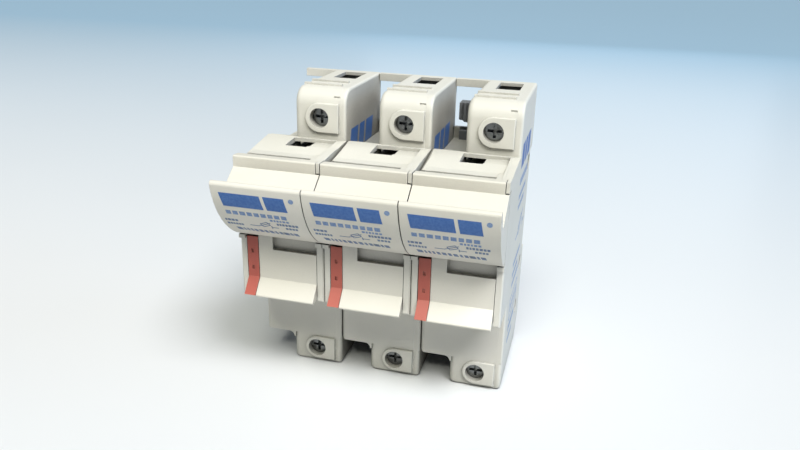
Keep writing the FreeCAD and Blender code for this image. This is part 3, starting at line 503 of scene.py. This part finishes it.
def floor():
    """A plain pale floor that turns light blue with distance; it throws back less than it shows."""
    z = FLOOR_Z * MM
    mesh = bpy.data.meshes.new("floor")
    corners = [(-FLOOR_HALF, -FLOOR_HALF, z), (FLOOR_HALF, -FLOOR_HALF, z),
               (FLOOR_HALF, FLOOR_HALF, z), (-FLOOR_HALF, FLOOR_HALF, z)]
    mesh.from_pydata(corners, [], [(0, 1, 2, 3)])
    obj = bpy.data.objects.new("floor", mesh)
    bpy.context.scene.collection.objects.link(obj)
    material, nodes, links, shader, where = new_material("floor")
    tone = ramp(nodes, links, noise(nodes, links, where, 3.0, 2.0), 0.3, 0.7)
    near = mix(nodes, links, tone, (0.80, 0.81, 0.82), (0.83, 0.84, 0.85))
    split = nodes.new("ShaderNodeSeparateXYZ")
    links.new(where, split.inputs["Vector"])
    far = ramp(nodes, links, split.outputs["Y"], 0.0, 0.9)
    seen = nodes.new("ShaderNodeLightPath").outputs["Is Camera Ray"]
    tint = mix(nodes, links, far, near, FAR_BLUE)
    links.new(mix(nodes, links, seen, (0.52, 0.53, 0.54), tint), shader.inputs["Base Color"])
    shader.inputs["Roughness"].default_value = 0.35
    mesh.materials.append(material)


def lamp(name, place, size, power, colour):
    """A square area light that looks at the part's origin."""
    data = bpy.data.lights.new(name, "AREA")
    data.shape = "SQUARE"
    data.size = size
    data.energy = power
    data.color = colour
    obj = bpy.data.objects.new(name, data)
    bpy.context.scene.collection.objects.link(obj)
    obj.location = place
    obj.rotation_euler = (-Vector(place)).to_track_quat("-Z", "Y").to_euler()


def sun(name, toward, strength, colour):
    """A distant soft light from the direction of toward, even over the whole floor."""
    data = bpy.data.lights.new(name, "SUN")
    data.energy = strength
    data.angle = math.radians(SOFT_ANGLE)
    data.color = colour
    obj = bpy.data.objects.new(name, data)
    bpy.context.scene.collection.objects.link(obj)
    obj.rotation_euler = Vector(toward).to_track_quat("Z", "Y").to_euler()


def surroundings():
    """A faint blue light from all round; the camera sees a pale blue distance instead."""
    world = bpy.data.worlds.new("studio")
    world.use_nodes = True
    nodes, links = world.node_tree.nodes, world.node_tree.links
    fill = nodes["Background"]
    fill.inputs["Color"].default_value = (0.62, 0.80, 1.0, 1.0)
    fill.inputs["Strength"].default_value = 0.05
    distance = nodes.new("ShaderNodeBackground")
    distance.inputs["Color"].default_value = (0.40, 0.58, 0.74, 1.0)
    choice = nodes.new("ShaderNodeMixShader")
    links.new(nodes.new("ShaderNodeLightPath").outputs["Is Camera Ray"], choice.inputs[0])
    links.new(fill.outputs["Background"], choice.inputs[1])
    links.new(distance.outputs["Background"], choice.inputs[2])
    links.new(choice.outputs["Shader"], nodes["World Output"].inputs["Surface"])
    bpy.context.scene.world = world


SENSOR_WIDTH = 36.0
LENS = 32.994             # millimetres on that sensor
CAMERA_PLACE = (58.31, -237.10, 79.00)
AZIMUTH, ELEVATION, ROLL = (math.radians(angle) for angle in (14.705, 20.823, 1.490))


def camera():
    """The camera in front, to the right and above, rolled a little."""
    data = bpy.data.cameras.new("camera")
    data.sensor_width = SENSOR_WIDTH
    data.lens = LENS
    data.clip_start = 0.01
    obj = bpy.data.objects.new("camera", data)
    bpy.context.scene.collection.objects.link(obj)
    back = Vector((math.sin(AZIMUTH) * math.cos(ELEVATION),
                   -math.cos(AZIMUTH) * math.cos(ELEVATION), math.sin(ELEVATION)))
    level_right = (-back).cross(Vector((0, 0, 1))).normalized()
    level_up = level_right.cross(-back)
    right = math.cos(ROLL) * level_right + math.sin(ROLL) * level_up
    up = math.cos(ROLL) * level_up - math.sin(ROLL) * level_right
    turn = Matrix((right, up, back)).transposed().to_4x4()
    obj.matrix_world = Matrix.Translation(Vector(CAMERA_PLACE) * MM) @ turn
    bpy.context.scene.camera = obj


floor()
sun("key", (0.27, -0.24, 0.50), 2.50, (0.98, 0.98, 1.0))
sun("top", (0.02, -0.36, 0.50), 1.75, (1.0, 1.0, 0.88))
lamp("side", (0.80, 0.10, 0.22), 0.5, 1.7, (0.30, 0.60, 1.0))
lamp("left", (-0.70, 0.05, 0.35), 0.5, 0.4, (0.85, 0.93, 1.0))
lamp("back", (0.0, 0.80, 0.30), 0.6, 0.6, (0.85, 0.93, 1.0))
surroundings()
bpy.context.scene.view_settings.view_transform = "Standard"
camera()
